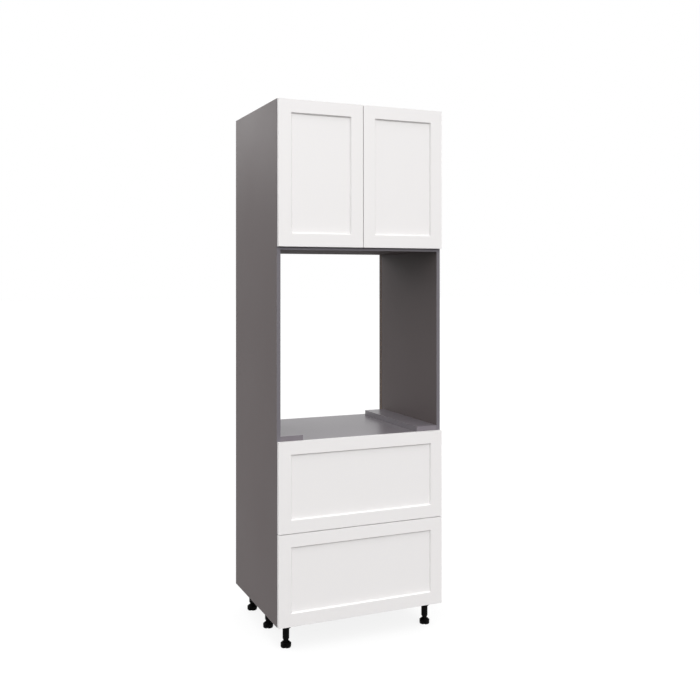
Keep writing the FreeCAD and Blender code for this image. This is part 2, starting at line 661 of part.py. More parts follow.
cabinet_members = []
for name, front_z, front_h, box_z in (
    ("lower", "0", "lower_front_h", "lower_box_z"),
    ("upper", "upper_front_z", "upper_front_h", "upper_box_z"),
):
    label = name + "_drawer"
    slide_z = "%s + slide_up" % box_z
    cabinet_members.append(
        channel(label + "_outer", "board_t", "slide_outer_h", ("0", "slide_sheet"),
                ("0", "slide_flange"), "slide_l", "slide_front", slide_z))
    middle = channel(label + "_middle", "board_t", "slide_mid_h",
                     ("slide_mid_x", "slide_mid_x + slide_sheet"),
                     ("slide_mid_x", "slide_flange"), "slide_mid_l",
                     "slide_front + (slide_l - slide_mid_l) / 2", slide_z)
    inner = channel(label + "_inner", "board_t", "slide_inner_h",
                    ("slide_t - slide_sheet", "slide_t"), ("slide_inner_x", "slide_t"),
                    "slide_l", "slide_front", slide_z)
    keep(both_sides(label + "_middle_slides", [middle]))
    keep(both_sides(label + "_inner_slides", [inner]))

    screws = []
    for index, height in enumerate(FRONT_SCREW_HEIGHTS):
        screw_z = "%s + %s" % (box_z, height)
        screws.append(fuse("%s_screw_%d" % (label, index), [
            rod("%s_shank_%d" % (label, index), "y", "screw_r", "front_screw_l + box_t",
                "front_screw_x", "%s - front_screw_l" % BOX_Y, screw_z),
            rod("%s_head_%d" % (label, index), "y", "head_r", "head_t",
                "front_screw_x", "%s + box_t" % BOX_Y, screw_z),
        ]))
    front_screws = keep(both_sides(label + "_front_screws", screws))
    front(label + "_front", "side_reveal", front_z, "drawer_front_w", front_h,
          cutters=front_screws)

    bottom = keep(box(label + "_bottom", "%s + box_t - bottom_in" % BOX_X,
                      "%s + box_t - bottom_in" % BOX_Y, "%s + bottom_up" % box_z,
                      "%s - 2 * (box_t - bottom_in)" % BOX_W,
                      "box_l - 2 * (box_t - bottom_in)", "bottom_t"))
    side = cut(label + "_side", box(label + "_side_slab", BOX_X, BOX_Y, box_z, "box_t",
                                    "box_l", "box_h"), bottom)
    keep(both_sides(label + "_sides", [side]))
    end_tools = group(label + "_end_tools", [bottom, front_screws])
    inner_w = "%s - 2 * box_t" % BOX_W
    keep(cut(label + "_inner_front",
             box(label + "_inner_slab", "%s + box_t" % BOX_X, BOX_Y, box_z, inner_w,
                 "box_t", "box_h"), end_tools))
    keep(cut(label + "_back",
             box(label + "_back_slab", "%s + box_t" % BOX_X,
                 "%s + box_l - box_t" % BOX_Y, box_z, inner_w, "box_t", "box_h"), bottom))
keep(both_sides("cabinet_slides", cabinet_members))

# ------------------------------------------------------------------ hand-in
doc.recompute()
faults = []
for item in doc.Objects:
    if "Invalid" in item.State or "Error" in item.State:
        faults.append("%s: %s" % (item.Label, item.State))
for label, item in nodes.items():
    shape = item.Shape
    if shape.isNull() or not shape.isValid() or not shape.Solids:
        faults.append("%s has no valid solid" % label)
if faults:
    raise RuntimeError("; ".join(faults))
for label, item in nodes.items():
    item.Shape.exportStep("parts/%s.step" % label)
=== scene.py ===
import math

import bmesh
import bpy
from mathutils import Matrix, Vector


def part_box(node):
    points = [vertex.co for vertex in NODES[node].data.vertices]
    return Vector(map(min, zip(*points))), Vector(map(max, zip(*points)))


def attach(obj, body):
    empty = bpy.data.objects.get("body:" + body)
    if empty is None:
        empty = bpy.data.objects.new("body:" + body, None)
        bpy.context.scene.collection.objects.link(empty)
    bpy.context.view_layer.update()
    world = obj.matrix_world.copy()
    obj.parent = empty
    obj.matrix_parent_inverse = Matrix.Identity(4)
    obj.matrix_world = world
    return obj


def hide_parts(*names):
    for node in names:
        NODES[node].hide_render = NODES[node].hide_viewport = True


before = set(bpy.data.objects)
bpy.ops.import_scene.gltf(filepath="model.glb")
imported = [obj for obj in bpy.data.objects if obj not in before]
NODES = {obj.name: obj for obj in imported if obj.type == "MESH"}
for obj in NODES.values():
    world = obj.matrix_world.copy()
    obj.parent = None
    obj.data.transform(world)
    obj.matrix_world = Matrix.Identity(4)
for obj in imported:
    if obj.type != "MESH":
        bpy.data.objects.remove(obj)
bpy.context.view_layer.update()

bl_info = {
    "name": "Oven housing unit",
    "version": (1, 0, 0),
    "blender": (4, 5, 0),
    "location": "View3D > Sidebar > Oven Housing",
    "description": "Dresses a tall oven housing with its finishes, fittings and stage",
    "category": "Object",
}

FINISHES = {}

# Lengths are in metres and angles in degrees.
WELD_GAP = 0.00001      # corners of a CAD node that are closer than this are one
SEAM_GAP = 0.000002     # the same, for a modelled piece
BOARD_CORNER = 30       # sharper corners of a CAD node are rounded
MOULD_CORNER = 35       # sharper corners of a foot are rounded
SMOOTH_UP_TO = 28       # flatter corners of a modelled piece are shaded smooth
ROUND_STEPS = 2         # faces across a rounded corner
FLAT_WEIGHT = 100       # how firmly the large faces stay flat beside a rounded one


# ------------------------------------------------------------------ settings
def colour_setting(name, text, value):
    return bpy.props.FloatVectorProperty(
        name=name, description=text, default=value, size=3, min=0.0, max=1.0,
        subtype="COLOR")


def length_setting(name, text, value):
    return bpy.props.FloatProperty(
        name=name, description=text, default=value, min=0.0, unit="LENGTH")


def number_setting(name, text, value):
    return bpy.props.FloatProperty(name=name, description=text, default=value, min=0.0)


def power_setting(name, text, value):
    return bpy.props.FloatProperty(
        name=name, description=text, default=value, min=0.0, unit="POWER")


class FinishSettings(bpy.types.PropertyGroup):
    """Colours of the unit's finishes"""
    board: colour_setting(
        "Board", "Colour of the grey melamine", (0.118, 0.0985, 0.0990))
    # The oven seat colour is the grey board made lighter: painted light on the floor and
    # battens of the oven bay
    seat: colour_setting(
        "Oven seat", "Colour of the boards that carry the oven", (0.160, 0.143, 0.161))
    core: colour_setting(
        "Board core", "Colour of the raw chipboard edges", (0.46, 0.33, 0.19))
    backing: colour_setting(
        "Backs", "Colour of the thin back panels", (0.118, 0.102, 0.101))
    band: colour_setting(
        "Edge band", "Colour of the front edge banding", (0.162, 0.151, 0.170))
    paint: colour_setting(
        "Paint", "Colour of the doors and drawer fronts", (0.846, 0.830, 0.829))
    box: colour_setting(
        "Drawer box", "Colour of the drawer boxes", (0.78, 0.78, 0.765))
    plastic: colour_setting(
        "Leg plastic", "Colour of the legs", (0.003, 0.003, 0.003))
    zinc: colour_setting(
        "Zinc", "Colour of zinc plated steel", (0.62, 0.64, 0.66))
    nickel: colour_setting(
        "Nickel", "Colour of nickel plated steel", (0.68, 0.66, 0.63))


class EdgeSettings(bpy.types.PropertyGroup):
    """How far the edges of each kind of piece are softened"""
    board: length_setting("Board edge", "Softened edge of the boards", 0.0003)
    front: length_setting(
        "Front edge", "Softened edge of doors and drawer fronts", 0.0004)
    metal: length_setting("Metal edge", "Softened edge of the metal parts", 0.00015)
    plastic: length_setting("Plastic edge", "Softened edge of the legs", 0.0004)


class LegSettings(bpy.types.PropertyGroup):
    """Sizes of the moulded feet and their threaded stems"""
    sole_in: length_setting("Sole", "Foot edge to the edge of its sole", 0.001)
    low: length_setting("Chamfer", "Height of the lower chamfer of the foot", 0.004)
    rim: length_setting("Rim", "Height of the straight rim of the foot", 0.012)
    shoulder: length_setting("Shoulder", "Height of the shoulder of the foot", 0.006)
    neck: length_setting("Neck", "Radius at the top of the foot", 0.016)
    notch: length_setting("Grip notch", "Radius of the grip notches", 0.0052)
    notch_turn: bpy.props.FloatProperty(
        name="Notch turn", description="Direction of the first grip notch",
        default=math.radians(242), subtype="ANGLE")
    stem: length_setting("Stem", "Radius of the threaded stem", 0.011)
    pitch: length_setting("Pitch", "Pitch of the stem's thread", 0.003)
    thread: length_setting("Thread", "Depth of the stem's thread", 0.0009)


class StageSettings(bpy.types.PropertyGroup):
    """Powers of the lamps, and tones of the room and its floor"""
    front: power_setting(
        "Front light", "Power of the distant light from the front", 1185.0)
    high: power_setting(
        "High light", "Power of the light from above the front", 9.0)
    left: power_setting(
        "Left light", "Power of the light from the front left", 50.0)
    rear: power_setting(
        "Rear light", "Power of the light that the left side mirrors", 60.0)
    horizon: number_setting("Walls", "Brightness of the room at eye level", 0.79)
    ceiling: number_setting("Ceiling", "Brightness of the room overhead", 1.59)
    floor_tone: colour_setting(
        "Floor", "Colour that the floor throws back", (0.07, 0.066, 0.062))
    floor_lift: number_setting(
        "Floor lift", "How far the shadow on the floor is lightened", 0.85)


def settings(part):
    return getattr(bpy.context.scene, "oven_housing_" + part)


# ------------------------------------------------------- shared shader groups
SCALES = ("Mark scale", "Fine scale", "Cloud scale")
USUAL_SCALES = (120.0, 900.0, 3.0)
GRAINS = {  # how a pattern is squeezed along x, y and z
    "upright": (1.0, 1.0, 0.05),
    "level": (0.05, 1.0, 1.0),
    "deep": (1.0, 0.05, 1.0),
    "even": (1.0, 1.0, 1.0),
}
MARK_DETAIL, SOFT_DETAIL, FLECK_DETAIL = 3.0, 2.0, 4.0
TONE_MARKS, TONE_CLOUDS = 0.55, 0.45        # shares of a finish's tone
RELIEF_MARKS, RELIEF_FINE = 0.6, 0.4        # shares of a finish's relief
RAW_FACING = 0.75                           # a face turned this far is a raw edge
CHIP_SCALE, FLECK_SCALE = 420.0, 900.0
CHIP_STRETCH, FLECK_STRETCH = (1.0, 0.55, 0.8), (1.0, 0.4, 0.7)
CHIP_SHARE, FLECK_SHARE = 0.7, 0.6
RAW_ROUGH, RAW_DARK, RAW_LIGHT = 0.85, 0.45, 1.25


def new_group(name, inputs, outputs):
    """An empty shader group with float inputs and outputs, and its two ends."""
    group = bpy.data.node_groups.new(name, "ShaderNodeTree")
    for label, value in inputs:
        socket = group.interface.new_socket(
            label, in_out="INPUT", socket_type="NodeSocketFloat")
        socket.default_value = value
    for label in outputs:
        group.interface.new_socket(
            label, in_out="OUTPUT", socket_type="NodeSocketFloat")
    start = group.nodes.new("NodeGroupInput")
    end = group.nodes.new("NodeGroupOutput")
    return group, start, end


def connect(tree, value, socket):
    """Feeds a socket from a number or from another socket."""
    if isinstance(value, (int, float)):
        socket.default_value = value
    else:
        tree.links.new(value, socket)


def calculate(tree, operation, first, second):
    node = tree.nodes.new("ShaderNodeMath")
    node.operation = operation
    connect(tree, first, node.inputs[0])
    connect(tree, second, node.inputs[1])
    return node.outputs[0]


def weighted_sum(tree, first, first_share, second, second_share):
    return calculate(tree, "ADD", calculate(tree, "MULTIPLY", first, first_share),
                     calculate(tree, "MULTIPLY", second, second_share))


def coordinates(tree, stretch):
    """Object coordinates, squeezed so that a pattern runs long along one axis."""
    place = tree.nodes.new("ShaderNodeTexCoord")
    mapping = tree.nodes.new("ShaderNodeMapping")
    mapping.inputs["Scale"].default_value = stretch
    tree.links.new(place.outputs["Object"], mapping.inputs["Vector"])
    return mapping.outputs["Vector"]


def noise(tree, vector, scale, detail):
    texture = tree.nodes.new("ShaderNodeTexNoise")
    texture.inputs["Detail"].default_value = detail
    connect(tree, scale, texture.inputs["Scale"])
    tree.links.new(vector, texture.inputs["Vector"])
    return texture.outputs["Fac"]


def grain_group(run):
    """Tone, gloss and height of a finish whose marks run along one direction."""
    name = "finish_" + run
    if name in bpy.data.node_groups:
        return bpy.data.node_groups[name]
    group, start, end = new_group(
        name, tuple(zip(SCALES, USUAL_SCALES)), ("Tone", "Gloss", "Height"))
    mark_scale, fine_scale, cloud_scale = (start.outputs[label] for label in SCALES)
    even = coordinates(group, GRAINS["even"])
    marks = noise(group, coordinates(group, GRAINS[run]), mark_scale, MARK_DETAIL)
    fine = noise(group, even, fine_scale, SOFT_DETAIL)
    cloud = noise(group, even, cloud_scale, SOFT_DETAIL)
    tone = weighted_sum(group, marks, TONE_MARKS, cloud, TONE_CLOUDS)
    height = weighted_sum(group, marks, RELIEF_MARKS, fine, RELIEF_FINE)
    group.links.new(tone, end.inputs["Tone"])
    group.links.new(cloud, end.inputs["Gloss"])
    group.links.new(height, end.inputs["Height"])
    return group


def chipboard_group():
    """Mask of a board's raw edges, and the flecked tone of its chips."""
    name = "chipboard_edge"
    if name in bpy.data.node_groups:
        return bpy.data.node_groups[name]
    group, start, end = new_group(
        name, (("Across x", 0.0), ("Across y", 0.0), ("Across z", 0.0)),
        ("Mask", "Chips"))
    place = group.nodes.new("ShaderNodeTexCoord")
    split = group.nodes.new("ShaderNodeSeparateXYZ")
    group.links.new(place.outputs["Normal"], split.inputs[0])
    turned = 0.0
    for axis in "XYZ":
        size = calculate(group, "ABSOLUTE", split.outputs[axis], 0.0)
        across = start.outputs["Across " + axis.lower()]
        turned = calculate(group, "ADD", turned,
                           calculate(group, "MULTIPLY", size, across))
    mask = calculate(group, "GREATER_THAN", turned, RAW_FACING)
    chips = group.nodes.new("ShaderNodeTexVoronoi")
    chips.inputs["Scale"].default_value = CHIP_SCALE
    group.links.new(coordinates(group, CHIP_STRETCH), chips.inputs["Vector"])
    flecks = noise(group, coordinates(group, FLECK_STRETCH), FLECK_SCALE, FLECK_DETAIL)
    tone = weighted_sum(group, chips.outputs["Distance"], CHIP_SHARE, flecks,
                        FLECK_SHARE)
    group.links.new(mask, end.inputs["Mask"])
    group.links.new(tone, end.inputs["Chips"])
    return group


# ------------------------------------------------------------------ finishes
def tint(colour, factor):
    """A colour made lighter or darker, with its alpha."""
    return tuple(min(1.0, c * factor) for c in colour) + (1.0,)


def colour_mix(tree, factor, first, second):
    node = tree.nodes.new("ShaderNodeMix")
    node.data_type = "RGBA"
    connect(tree, factor, node.inputs["Factor"])
    for label, value in (("A", first), ("B", second)):
        if isinstance(value, tuple):
            node.inputs[label].default_value = value
        else:
            tree.links.new(value, node.inputs[label])
    return node.outputs["Result"]


def finish(name, colour, run, spread, rough, bump, bump_size=0.0002,
           scales=USUAL_SCALES, metallic=0.0, specular=0.5, raw=""):
    """A procedural finish: two close tones, uneven gloss and a fine relief.

    raw gives the axes along which a board ends in bare chipboard."""
    if name in FINISHES:
        return FINISHES[name]
    material = FINISHES[name] = bpy.data.materials.new(name)
    material.use_nodes = True
    material.diffuse_color = tint(colour, 1.0)
    tree = material.node_tree
    shader = tree.nodes["Principled BSDF"]
    shader.inputs["Metallic"].default_value = metallic
    shader.inputs["Specular IOR Level"].default_value = specular
    surface = tree.nodes.new("ShaderNodeGroup")
    surface.node_tree = grain_group(run)
    for label, value in zip(SCALES, scales):
        surface.inputs[label].default_value = value
    shade = colour_mix(tree, surface.outputs["Tone"], tint(colour, 1.0 - spread),
                       tint(colour, 1.0 + spread))
    gloss = tree.nodes.new("ShaderNodeMapRange")
    gloss.inputs["To Min"].default_value = rough[0]
    gloss.inputs["To Max"].default_value = rough[1]
    tree.links.new(surface.outputs["Gloss"], gloss.inputs["Value"])
    roughness, height = gloss.outputs["Result"], surface.outputs["Height"]
    if raw:
        core = settings("finish").core
        edge = tree.nodes.new("ShaderNodeGroup")
        edge.node_tree = chipboard_group()
        for axis in raw:
            edge.inputs["Across " + axis].default_value = 1.0
        mask, tone = edge.outputs["Mask"], edge.outputs["Chips"]
        chips = colour_mix(tree, tone, tint(core, RAW_DARK), tint(core, RAW_LIGHT))
        shade = colour_mix(tree, mask, shade, chips)
        roughness = calculate(tree, "MAXIMUM", roughness,
                              calculate(tree, "MULTIPLY", mask, RAW_ROUGH))
        height = calculate(tree, "ADD", height, calculate(tree, "MULTIPLY", mask, tone))
    tree.links.new(shade, shader.inputs["Base Color"])
    tree.links.new(roughness, shader.inputs["Roughness"])
    relief = tree.nodes.new("ShaderNodeBump")
    relief.inputs["Strength"].default_value = bump
    relief.inputs["Distance"].default_value = bump_size
    tree.links.new(height, relief.inputs["Height"])
    tree.links.new(relief.outputs["Normal"], shader.inputs["Normal"])
    return material


MELAMINES = {  # colour setting, roughness, relief and reflection
    "grey_melamine": ("board", (0.46, 0.54), 0.08, 0.12),
    "dull_melamine": ("board", (0.66, 0.74), 0.08, 0.07),
    # The oven seat is a lighter, glossier copy of the grey board: painted light on the
    # bay floor and battens
    "oven_seat_melamine": ("seat", (0.30, 0.36), 0.06, 0.5),
}


def melamine(kind, run, raw):
    """Coated board, with bare chipboard at its ends along the raw axes."""
    colour, rough, bump, specular = MELAMINES[kind]
    return finish("%s_%s_%s" % (kind, run, raw), getattr(settings("finish"), colour),
                  run, spread=0.03, rough=rough, bump=bump, bump_size=0.0001,
                  scales=(260.0, 1500.0, 2.5), specular=specular, raw=raw)


def backboard():
    """Thin coated board of the backs."""
    return finish("thin_backboard", settings("finish").backing, "upright", spread=0.04,
                  rough=(0.5, 0.6), bump=0.08, scales=(200.0, 1200.0, 3.0),
                  specular=0.2)


def banding():
    """Coloured band on the front edges."""
    return finish("banding", settings("finish").band, "upright", spread=0.03,
                  rough=(0.42, 0.5), bump=0.05, bump_size=0.0001,
                  scales=(200.0, 1200.0, 5.0), specular=0.2)


def paint(run):
    """Satin white paint of the doors and drawer fronts."""
    return finish("white_paint_" + run, settings("finish").paint, run, spread=0.008,
                  rough=(0.40, 0.48), bump=0.10, scales=(90.0, 700.0, 4.0),
                  specular=0.35)


def box_board(run):
    """Pale coated board of the drawer boxes."""
    return finish("box_board_" + run, settings("finish").box, run, spread=0.012,
                  rough=(0.4, 0.5), bump=0.06, scales=(150.0, 900.0, 3.0),
                  specular=0.3)


def zinc_plate():
    """Rolled and zinc plated steel of the drawer slides."""
    return finish("zinc_plate", settings("finish").zinc, "deep", spread=0.06,
                  rough=(0.28, 0.40), bump=0.05, scales=(500.0, 1800.0, 9.0),
                  metallic=1.0)


def cast_zinc():
    """Duller, cast or pressed zinc of the small fittings."""
    return finish("cast_zinc", settings("finish").zinc, "even", spread=0.09,
                  rough=(0.36, 0.50), bump=0.10, scales=(600.0, 2600.0, 20.0),
                  metallic=1.0)


def nickel_plate():
    """Bright nickel of the hinges."""
    return finish("nickel_plate", settings("finish").nickel, "even", spread=0.05,
                  rough=(0.16, 0.26), bump=0.03, scales=(400.0, 2200.0, 14.0),
                  metallic=1.0)


def black_plastic():
    """Moulded black plastic of the legs."""
    return finish("leg_plastic", settings("finish").plastic, "even", spread=0.3,
                  rough=(0.42, 0.55), bump=0.15, scales=(300.0, 1600.0, 12.0),
                  specular=0.04)


# ------------------------------------------------------------- piece helpers
def round_corners(item, width, corner):
    """Rounds the corners that are sharper than an angle."""
    bevel = item.modifiers.new("Soft edges", "BEVEL")
    bevel.limit_method = "ANGLE"
    bevel.angle_limit = math.radians(corner)
    bevel.width = width
    bevel.segments = ROUND_STEPS


def dress(node, material, edge):
    """Gives a CAD node its finish and soft edges, and keeps its flat faces flat."""
    item = NODES[node]
    item.data.materials.clear()
    item.data.materials.append(material)
    weld = item.modifiers.new("Join triangles", "WELD")
    weld.merge_threshold = WELD_GAP
    round_corners(item, edge, BOARD_CORNER)
    normals = item.modifiers.new("Flat faces", "WEIGHTED_NORMAL")
    normals.mode = "FACE_AREA"
    normals.weight = FLAT_WEIGHT
    normals.keep_sharp = False


def solids_of(node):
    """Lowest and highest corner of each separate solid in a CAD node."""
    mesh = bmesh.new()
    mesh.from_mesh(NODES[node].data)
    bmesh.ops.remove_doubles(mesh, verts=mesh.verts, dist=WELD_GAP)
    left = set(mesh.verts)
    found = []
    while left:
        heap = [left.pop()]
        corners = []
        while heap:
            vert = heap.pop()
            corners.append(vert.co.copy())
            for edge in vert.link_edges:
                other = edge.other_vert(vert)
                if other in left:
                    left.remove(other)
                    heap.append(other)
        low = Vector([min(c[i] for c in corners) for i in range(3)])
        high = Vector([max(c[i] for c in corners) for i in range(3)])
        found.append((low, high))
    mesh.free()
    found.sort(key=lambda pair: tuple(round(v, 5) for v in pair[0]))
    return found


def kept_mesh(name, mesh):
    """Stores a bmesh as mesh data and frees it."""
    data = bpy.data.meshes.new(name)
    mesh.to_mesh(data)
    mesh.free()
    return data


def add_piece(name, mesh, material, body, replaced):
    """Turns a finished bmesh into a piece that stands for CAD nodes."""
    bmesh.ops.remove_doubles(mesh, verts=mesh.verts, dist=SEAM_GAP)
    bmesh.ops.recalc_face_normals(mesh, faces=mesh.faces)
    data = kept_mesh(name, mesh)
    data.materials.append(material)
    data.shade_smooth()
    data.set_sharp_from_angle(angle=math.radians(SMOOTH_UP_TO))
    item = bpy.data.objects.new(name, data)
    bpy.context.scene.collection.objects.link(item)
    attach(item, body)
    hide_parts(*replaced)
    return item


def raise_faces(mesh, faces, height, scale=1.0):
    """Extrudes faces along z about the z axis, and returns the moved faces.

    The faces that it starts from stay in place, across the inside."""
    made = bmesh.ops.extrude_face_region(mesh, geom=faces)["geom"]
    verts = [g for g in made if isinstance(g, bmesh.types.BMVert)]
    bmesh.ops.scale(mesh, vec=(scale, scale, 1.0), verts=verts)
    bmesh.ops.translate(mesh, vec=(0.0, 0.0, height), verts=verts)
    return [g for g in made if isinstance(g, bmesh.types.BMFace)]


def ring_out(mesh, edges, radius_from, radius_to, drop):
    """Extrudes a ring of edges to another radius and height."""
    made = bmesh.ops.extrude_edge_only(mesh, edges=edges)["geom"]
    verts = [g for g in made if isinstance(g, bmesh.types.BMVert)]
    factor = radius_to / radius_from
    bmesh.ops.scale(mesh, vec=(factor, factor, 1.0), verts=verts)
    bmesh.ops.translate(mesh, vec=(0.0, 0.0, drop), verts=verts)
    return [g for g in made if isinstance(g, bmesh.types.BMEdge)
            and all(v in set(verts) for v in g.verts)]


HEAD_STEPS = 32         # faces around a turned head
RECESS_TAPER = 0.8      # bottom of a head's cross, as a share of its mouth


def cross_head(profile, slot_long, slot_wide, slot_deep):
    """A turned head, face up at z = 0, with a cross under its face.

    profile lists radius and height from the face outwards and down. The cross is
    closed over, because the faces at its mouth stay."""
    inner, face = profile[0]
    mesh = bmesh.new()
    grid = bmesh.ops.create_grid(mesh, x_segments=3, y_segments=3, size=1.0)["verts"]
    for vert in grid:
        vert.co.z = face
        for axis in (0, 1):
            half = slot_long / 2 if abs(vert.co[axis]) > 0.5 else slot_wide / 2
            vert.co[axis] = math.copysign(half, vert.co[axis])
    corners = [f for f in mesh.faces if min(abs(c) for c in f.calc_center_median()[:2])
               > slot_wide / 2]
    bmesh.ops.delete(mesh, geom=corners, context="FACES")
    outline = [e for e in mesh.edges if e.is_boundary]
    cross = list(mesh.faces)
    circle = bmesh.ops.create_circle(mesh, radius=inner, segments=HEAD_STEPS)["verts"]
    bmesh.ops.translate(mesh, vec=(0, 0, face), verts=circle)
    rim = [e for e in mesh.edges if e.is_wire and e.verts[0] in set(circle)]
    bmesh.ops.bridge_loops(mesh, edges=outline + rim)
    raise_faces(mesh, cross, -slot_deep, RECESS_TAPER)
    for (radius, height), (next_radius, next_height) in zip(profile, profile[1:]):
        rim = ring_out(mesh, rim, radius, next_radius, next_height - height)
    bmesh.ops.holes_fill(mesh, edges=rim, sides=0)
    return kept_mesh("head", mesh)


def stamp(mesh, data, place):
    """Adds a copy of a mesh, moved by a matrix."""
    known = set(mesh.verts)
    mesh.from_mesh(data)
    bmesh.ops.transform(
        mesh, matrix=place, verts=[v for v in mesh.verts if v not in known])


def facing(point, axis):
    """A matrix that takes z = 0, facing up, to a point, facing along an axis."""
    turn = Vector(axis).to_track_quat("Z", "Y").to_matrix().to_4x4()
    return Matrix.Translation(point) @ turn


def middle(low, high):
    return (low + high) / 2


# ------------------------------------------------------------------- carcass
BOARDS = (  # node, kind of melamine, run of its marks, and axes with raw ends
    ("left_side_panel", "grey_melamine", "upright", "yz"),
    ("right_side_panel", "grey_melamine", "upright", "yz"),
    ("oven_top_shelf", "dull_melamine", "level", "xy"),
    ("top_panel", "grey_melamine", "level", "xy"),
    ("bottom_panel", "grey_melamine", "level", "xy"),
    ("adjustable_shelf", "grey_melamine", "level", "x"),
    ("hanging_rails", "grey_melamine", "level", "xz"),
    # The oven floor shelf and battens take the lighter copy of the grey board, as
    # painted light
    ("oven_floor_shelf", "oven_seat_melamine", "level", "xy"),
    ("oven_battens", "oven_seat_melamine", "deep", ""),
)


class OVEN_OT_carcass(bpy.types.Operator):
    """Finish the boards, backs, rails, battens and edge bands of the carcass"""
    bl_idname = "oven_housing.carcass"
    bl_label = "Carcass"

    def execute(self, context):
        edge = settings("edges").board
        for node, kind, run, raw in BOARDS:
            dress(node, melamine(kind, run, raw), edge)
        for node in ("upper_back_panel", "lower_back_panel"):
            dress(node, backboard(), edge)
        dress("front_edge_bands", banding(), edge)
        return {"FINISHED"}


# -------------------------------------------------------- fronts and drawers
FRONTS = ("left_door", "right_door", "lower_drawer_front", "upper_drawer_front")
FRONT_PARTS = (("_stiles", "upright"), ("_rails", "level"), ("_panel", "even"))
DRAWERS = ("lower_drawer", "upper_drawer")
BOX_PARTS = (("_sides", "deep"), ("_inner_front", "level"), ("_back", "level"),
             ("_bottom", "level"))


class OVEN_OT_fronts(bpy.types.Operator):
    """Paint the stiles, rails and panels of the doors and drawer fronts"""
    bl_idname = "oven_housing.fronts"
    bl_label = "Doors and drawer fronts"

    def execute(self, context):
        edge = settings("edges").front
        for front in FRONTS:
            for part, run in FRONT_PARTS:
                dress(front + part, paint(run), edge)
        return {"FINISHED"}


class OVEN_OT_drawers(bpy.types.Operator):
    """Finish the drawer boxes and their slides"""
    bl_idname = "oven_housing.drawers"
    bl_label = "Drawer boxes and slides"

    def execute(self, context):
        edges = settings("edges")
        for drawer in DRAWERS:
            for part, run in BOX_PARTS:
                dress(drawer + part, box_board(run), edges.board)
            for part in ("_middle_slides", "_inner_slides"):
                dress(drawer + part, zinc_plate(), edges.metal)
        dress("cabinet_slides", zinc_plate(), edges.metal)
        return {"FINISHED"}


# ------------------------------------------------------------------ fittings
HINGE_NODES = (
    "hinge_mounting_plates", "hinge_arms", "hinge_arm_pins", "left_hinge_links",
    "right_hinge_links", "left_door_hinge_cups", "right_door_hinge_cups",
    "left_door_hinge_pins", "right_door_hinge_pins",
)
# Shares of the cam's radius, and metres below its face.
CAM_PROFILE = ((0.8, 0.0004), (0.84, 0.0), (0.96, 0.0), (1.0, 0.0003))
CAM_SLOT_LONG, CAM_SLOT_WIDE = 1.2, 0.3     # shares of the cam's radius
CAM_SLOT_DEEP = 0.003
# Shares of the head's radius and of its height, down to its underside.
HEAD_PROFILE = ((0.6, 0.0), (0.85, 0.3), (1.0, 0.75), (1.0, 1.0))
HEAD_HEIGHT = 0.002
SLOT_LONG, SLOT_WIDE = 1.0, 0.26            # shares of the head's radius
SLOT_DEEP = 0.7                             # share of the head's height
SHANK = 0.53                                # shank's radius as a share of the head's
POINT_HEIGHT, POINT_TIP = 0.002, 0.3        # length, and share of the shank's radius


class OVEN_OT_hinges(bpy.types.Operator):
    """Finish the concealed hinges, bolts and shelf pins"""
    bl_idname = "oven_housing.hinges"
    bl_label = "Hinges and pins"

    def execute(self, context):
        edge = settings("edges").metal
        for node in HINGE_NODES:
            dress(node, nickel_plate(), edge)
        for node in ("cam_bolts", "shelf_pins"):
            dress(node, cast_zinc(), edge)
        return {"FINISHED"}


class OVEN_OT_cam_locks(bpy.types.Operator):
    """Model the cam locks with their rims"""
    bl_idname = "oven_housing.cam_locks"
    bl_label = "Cam locks"

    def execute(self, context):
        boards = [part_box(name) for name in ("bottom_panel", "oven_floor_shelf",
                                            "oven_top_shelf", "top_panel")]
        locks = solids_of("cam_locks")
        low, high = locks[0]
        radius, deep = (high.x - low.x) / 2, high.z - low.z
        profile = [(radius * out, -down) for out, down in CAM_PROFILE]
        head = cross_head(profile + [(radius, -deep)], radius * CAM_SLOT_LONG,
                          radius * CAM_SLOT_WIDE, CAM_SLOT_DEEP)
        mesh = bmesh.new()
        for low, high in locks:
            centre = middle(low, high)
            board = min(boards, key=lambda box: abs(middle(*box).z - centre.z))
            below = abs(low.z - board[0].z) < abs(high.z - board[1].z)
            centre.z = low.z if below else high.z
            stamp(mesh, head, facing(centre, (0, 0, -1 if below else 1)))
        add_piece("cam_lock_set", mesh, cast_zinc(), "carcass",
                  ["cam_locks"])
        return {"FINISHED"}


def screw_set(name, node, axes, body):
    """Pan heads on plain shanks with a short point.

    axes gives, for each solid's corners, the way its head faces."""
    mesh = bmesh.new()
    screws = {}
    for low, high in solids_of(node):
        axis = Vector(axes(low, high))
        size = high - low
        long = max(range(3), key=lambda i: abs(axis[i]))
        radius = max(size[i] for i in range(3) if i != long) / 2
        length = size[long]
        key = (round(radius, 5), round(length, 5))
        if key not in screws:
            shank = radius * SHANK
            profile = [(radius * out, -HEAD_HEIGHT * down) for out, down in HEAD_PROFILE]
            profile += [(shank, -HEAD_HEIGHT), (shank, POINT_HEIGHT - length),
                        (shank * POINT_TIP, -length)]
            screws[key] = cross_head(profile, radius * SLOT_LONG, radius * SLOT_WIDE,
                                     HEAD_HEIGHT * SLOT_DEEP)
        tip = middle(low, high) + axis * length / 2
        stamp(mesh, screws[key], facing(tip, axis))
    add_piece(name, mesh, cast_zinc(), body, [node])


class OVEN_OT_screws(bpy.types.Operator):
    """Model the leg screws, hinge screws and drawer front screws"""
    bl_idname = "oven_housing.screws"
    bl_label = "Screws"

    def execute(self, context):
        screw_set("leg_screw_set", "leg_screws", lambda low, high: (0, 0, -1), "carcass")
        screw_set("hinge_screw_set", "hinge_screws",
                  lambda low, high: (1 if low.x < 0 else -1, 0, 0), "carcass")
        for drawer in DRAWERS:
            screw_set(drawer + "_front_screw_set", drawer + "_front_screws",
                      lambda low, high: (0, 1, 0), drawer)
        return {"FINISHED"}


